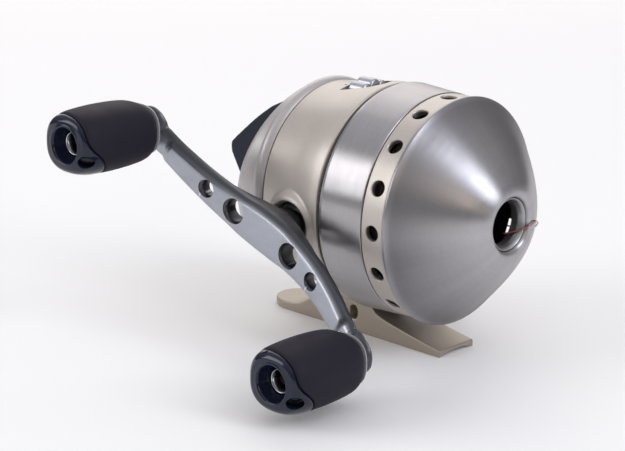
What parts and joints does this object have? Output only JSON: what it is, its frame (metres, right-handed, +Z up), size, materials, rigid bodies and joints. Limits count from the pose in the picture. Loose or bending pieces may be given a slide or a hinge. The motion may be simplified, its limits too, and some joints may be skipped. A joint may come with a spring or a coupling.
{
  "type": "spincast fishing reel",
  "caption": "Closed-face spincast fishing reel: gold housing, brushed steel cone cover with vent band, double-knob crank, thumb button, drag dial and reel foot.",
  "frame": {"origin": "centre of the foot's flat seat, where the reel rests on a rod's reel seat", "axes": "+X along the spool axis out of the nose, -Y is the crank side, +Z up away from the rod"},
  "size_m": [0.0978, 0.1091, 0.0701],
  "materials": {
    "gold_paint": "satin champagne-gold metallic paint with a fine grain",
    "brushed_steel": "stainless steel with turned, circumferential brush lines",
    "polished_steel": "bright machined steel",
    "cast_aluminium": "satin cast aluminium, tumbled, bluish grey",
    "chrome": "chrome plate",
    "brass": "machined brass",
    "cast_zinc": "die-cast zinc, matt grey",
    "zinc_screw": "zinc-plated steel",
    "black_rubber": "black rubber",
    "soft_black": "soft-touch black moulding, matt",
    "smoke_plastic": "smoky translucent moulded plastic, glossy",
    "black_plastic": "black moulded plastic",
    "button_black": "blue-black moulded plastic, satin",
    "felt": "pressed felt",
    "wound_line": "wound nylon line",
    "monofilament": "reddish-brown nylon monofilament"
  },
  "bodies": {
    "body": {"body_housing": "gold_paint", "rear_cover": "gold_paint", "reel_foot": "gold_paint", "seal_ring": "black_rubber", "deck_plate": "cast_zinc", "bearing_bracket": "cast_zinc", "foot_screw_rear": "zinc_screw", "foot_screw_front": "zinc_screw", "deck_screw_1": "zinc_screw", "deck_screw_2": "zinc_screw", "deck_screw_3": "zinc_screw", "bracket_screw_right": "zinc_screw", "bracket_screw_left": "zinc_screw", "rear_cover_screw_right": "zinc_screw", "rear_cover_screw_left": "zinc_screw", "crank_bushing": "brass", "anti_reverse_clutch": "polished_steel", "pinion_bushing": "brass", "spool_clip": "polished_steel", "drag_felt_washer": "felt", "drag_leaf": "polished_steel", "shaft_return_spring": "polished_steel"},
    "front_cover": {"front_cover": "brushed_steel", "vent_band": "gold_paint", "line_guide_ring": "polished_steel", "fishing_line": "monofilament"},
    "crank": {"handle_arm": "cast_aluminium", "crank_shaft": "polished_steel", "drive_gear": "brass", "crank_cap_screw": "chrome", "knob_rear_rivet": "chrome", "knob_front_rivet": "chrome"},
    "rear_knob": {"knob_rear_grip": "soft_black", "knob_rear_core": "smoke_plastic"},
    "front_knob": {"knob_front_grip": "soft_black", "knob_front_core": "smoke_plastic"},
    "pinion": {"pinion_gear": "brass"},
    "shaft": {"centre_shaft": "polished_steel", "shaft_clip": "polished_steel", "spinner_head": "brushed_steel", "spinner_nut": "chrome"},
    "pickup": {"pickup_pin": "polished_steel"},
    "spool": {"spool": "black_plastic", "line_winding": "wound_line"},
    "drag": {"drag_dial": "chrome", "drag_screw": "polished_steel"},
    "thumb": {"thumb_button": "button_black"}
  },
  "joints": [
    {"name": "front_cover_off", "type": "slide", "parent": "body", "child": "front_cover", "axis": [1, 0, 0], "range_m": [0, 0.045]},
    {"name": "crank_turn", "type": "hinge", "parent": "body", "child": "crank", "pos_m": [-0.0024, 0, 0.0343], "axis": [0, 1, 0], "continuous": true},
    {"name": "rear_knob_spin", "type": "hinge", "parent": "crank", "child": "rear_knob", "pos_m": [-0.03949, 0, 0.05703], "axis": [0, 1, 0], "continuous": true},
    {"name": "front_knob_spin", "type": "hinge", "parent": "crank", "child": "front_knob", "pos_m": [0.03469, 0, 0.01157], "axis": [0, 1, 0], "continuous": true},
    {"name": "pinion_spin", "type": "hinge", "parent": "body", "child": "pinion", "pos_m": [0.005, 0, 0.039], "axis": [1, 0, 0], "continuous": true},
    {"name": "shaft_slide", "type": "slide", "parent": "pinion", "child": "shaft", "axis": [1, 0, 0], "range_m": [0, 0.0035]},
    {"name": "pickup_retract", "type": "slide", "parent": "shaft", "child": "pickup", "axis": [0, 1, 0], "range_m": [0, 0.0018]},
    {"name": "thumb_press", "type": "slide", "parent": "body", "child": "thumb", "axis": [1, 0, 0], "range_m": [0, 0.0035], "stiffness_N_per_m": 900, "springref_m": -0.003, "deforming": ["shaft_return_spring"]},
    {"name": "spool_slip", "type": "hinge", "parent": "body", "child": "spool", "pos_m": [0.019, 0, 0.039], "axis": [1, 0, 0], "continuous": true},
    {"name": "drag_dial_turn", "type": "hinge", "parent": "body", "child": "drag", "pos_m": [-0.002, 0, 0.0613], "axis": [1, 0, 0], "range_deg": [-150, 150]}
  ],
  "couplings": [
    {"joint": "pinion_spin", "follows": "crank_turn", "ratio": 3.6},
    {"joint": "shaft_slide", "follows": "thumb_press", "ratio": 1},
    {"joint": "pickup_retract", "follows": "thumb_press", "ratio": 0.5}
  ]
}
